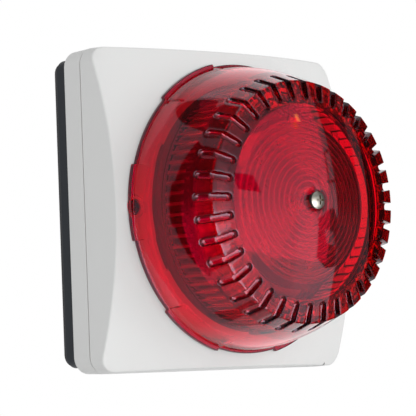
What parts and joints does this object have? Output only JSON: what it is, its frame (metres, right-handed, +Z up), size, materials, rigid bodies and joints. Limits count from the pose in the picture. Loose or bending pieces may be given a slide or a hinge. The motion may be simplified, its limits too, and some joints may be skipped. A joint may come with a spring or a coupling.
{
  "type": "horn strobe",
  "caption": "Square wall-mounted sounder and strobe: two-part housing on a dark bracket, castellated red lens over a ribbed clear optic and an LED ring.",
  "frame": {"origin": "centre of the wall fixing pattern, on the wall face of the gasket", "axes": "+Z up, -Y out from the wall towards the viewer, +X to the right seen from the front"},
  "size_m": [0.16, 0.1079, 0.16],
  "materials": {
    "foam": "matt closed-cell foam",
    "bracket_plastic": "charcoal, fine texture",
    "housing_plastic": "pale grey, fine texture",
    "seal_rubber": "matt brown-black",
    "black_rubber": "matt",
    "brass": "machined",
    "steel": "bright zinc plate",
    "green_board": "solder mask",
    "white_board": "white solder mask",
    "green_plastic": "moulded",
    "blue_plastic": "moulded",
    "white_plastic": "moulded",
    "black_plastic": "moulded",
    "capacitor_sleeve": "drawn can",
    "ferrite": "ferrite",
    "led_package": "ceramic with a clear dome",
    "amber": "amber",
    "clear_lens": "clear, polished",
    "red_lens": "clear red, polished"
  },
  "bodies": {
    "base": {"wall_gasket": "foam", "wall_bracket": "bracket_plastic", "bracket_screws": "steel", "rear_housing": "housing_plastic", "thread_inserts": "brass", "cable_grommet": "black_rubber", "cover_seal": "seal_rubber", "main_board": "green_board", "board_screws": "steel", "terminal_block": "green_plastic", "terminal_screws": "steel", "tone_switch": "blue_plastic", "volume_trimmer": "blue_plastic", "capacitors": "capacitor_sleeve", "boost_choke": "ferrite", "control_chips": "black_plastic", "link_socket": "black_plastic", "sounder": "black_plastic", "sounder_disc": "brass", "sounder_screws": "steel"},
    "cover": {"front_cover": "housing_plastic", "cover_screws": "steel", "lens_seal": "black_rubber", "deck": "black_plastic", "deck_screws": "steel", "link_plug": "black_plastic", "led_pedestal": "white_plastic", "pedestal_screws": "steel", "led_board": "white_board", "led_screws": "steel", "leds": "led_package", "led_drivers": "black_plastic", "status_lamp": "amber", "centre_post": "brass", "inner_optic": "clear_lens"},
    "lens_unit": {"lens": "red_lens", "lens_washer": "black_rubber"},
    "lens_screw": {"lens_screw": "steel"},
    "trimmer_rotor": {"trimmer_rotor": "white_plastic"},
    "tone_lever_1": {"tone_lever_1": "white_plastic"},
    "tone_lever_2": {"tone_lever_2": "white_plastic"},
    "tone_lever_3": {"tone_lever_3": "white_plastic"},
    "tone_lever_4": {"tone_lever_4": "white_plastic"}
  },
  "joints": [
    {"name": "cover_lift", "type": "slide", "parent": "base", "child": "cover", "axis": [0, -1, 0], "range_m": [0, 0.05]},
    {"name": "lens_lift", "type": "slide", "parent": "cover", "child": "lens_unit", "axis": [0, -1, 0], "range_m": [0, 0.055]},
    {"name": "lens_screw_turn", "type": "hinge", "parent": "lens_unit", "child": "lens_screw", "pos_m": [0, -0.1, 0], "axis": [0, -1, 0], "range_deg": [0, 3600]},
    {"name": "volume_turn", "type": "hinge", "parent": "base", "child": "trimmer_rotor", "pos_m": [0.036, -0.0266, -0.009], "axis": [0, 1, 0], "range_deg": [0, 270]},
    {"name": "tone_select_1", "type": "slide", "parent": "base", "child": "tone_lever_1", "axis": [0, 0, 1], "range_m": [0, 0.0024]},
    {"name": "tone_select_2", "type": "slide", "parent": "base", "child": "tone_lever_2", "axis": [0, 0, 1], "range_m": [0, 0.0024]},
    {"name": "tone_select_3", "type": "slide", "parent": "base", "child": "tone_lever_3", "axis": [0, 0, 1], "range_m": [0, 0.0024]},
    {"name": "tone_select_4", "type": "slide", "parent": "base", "child": "tone_lever_4", "axis": [0, 0, 1], "range_m": [0, 0.0024]}
  ]
}
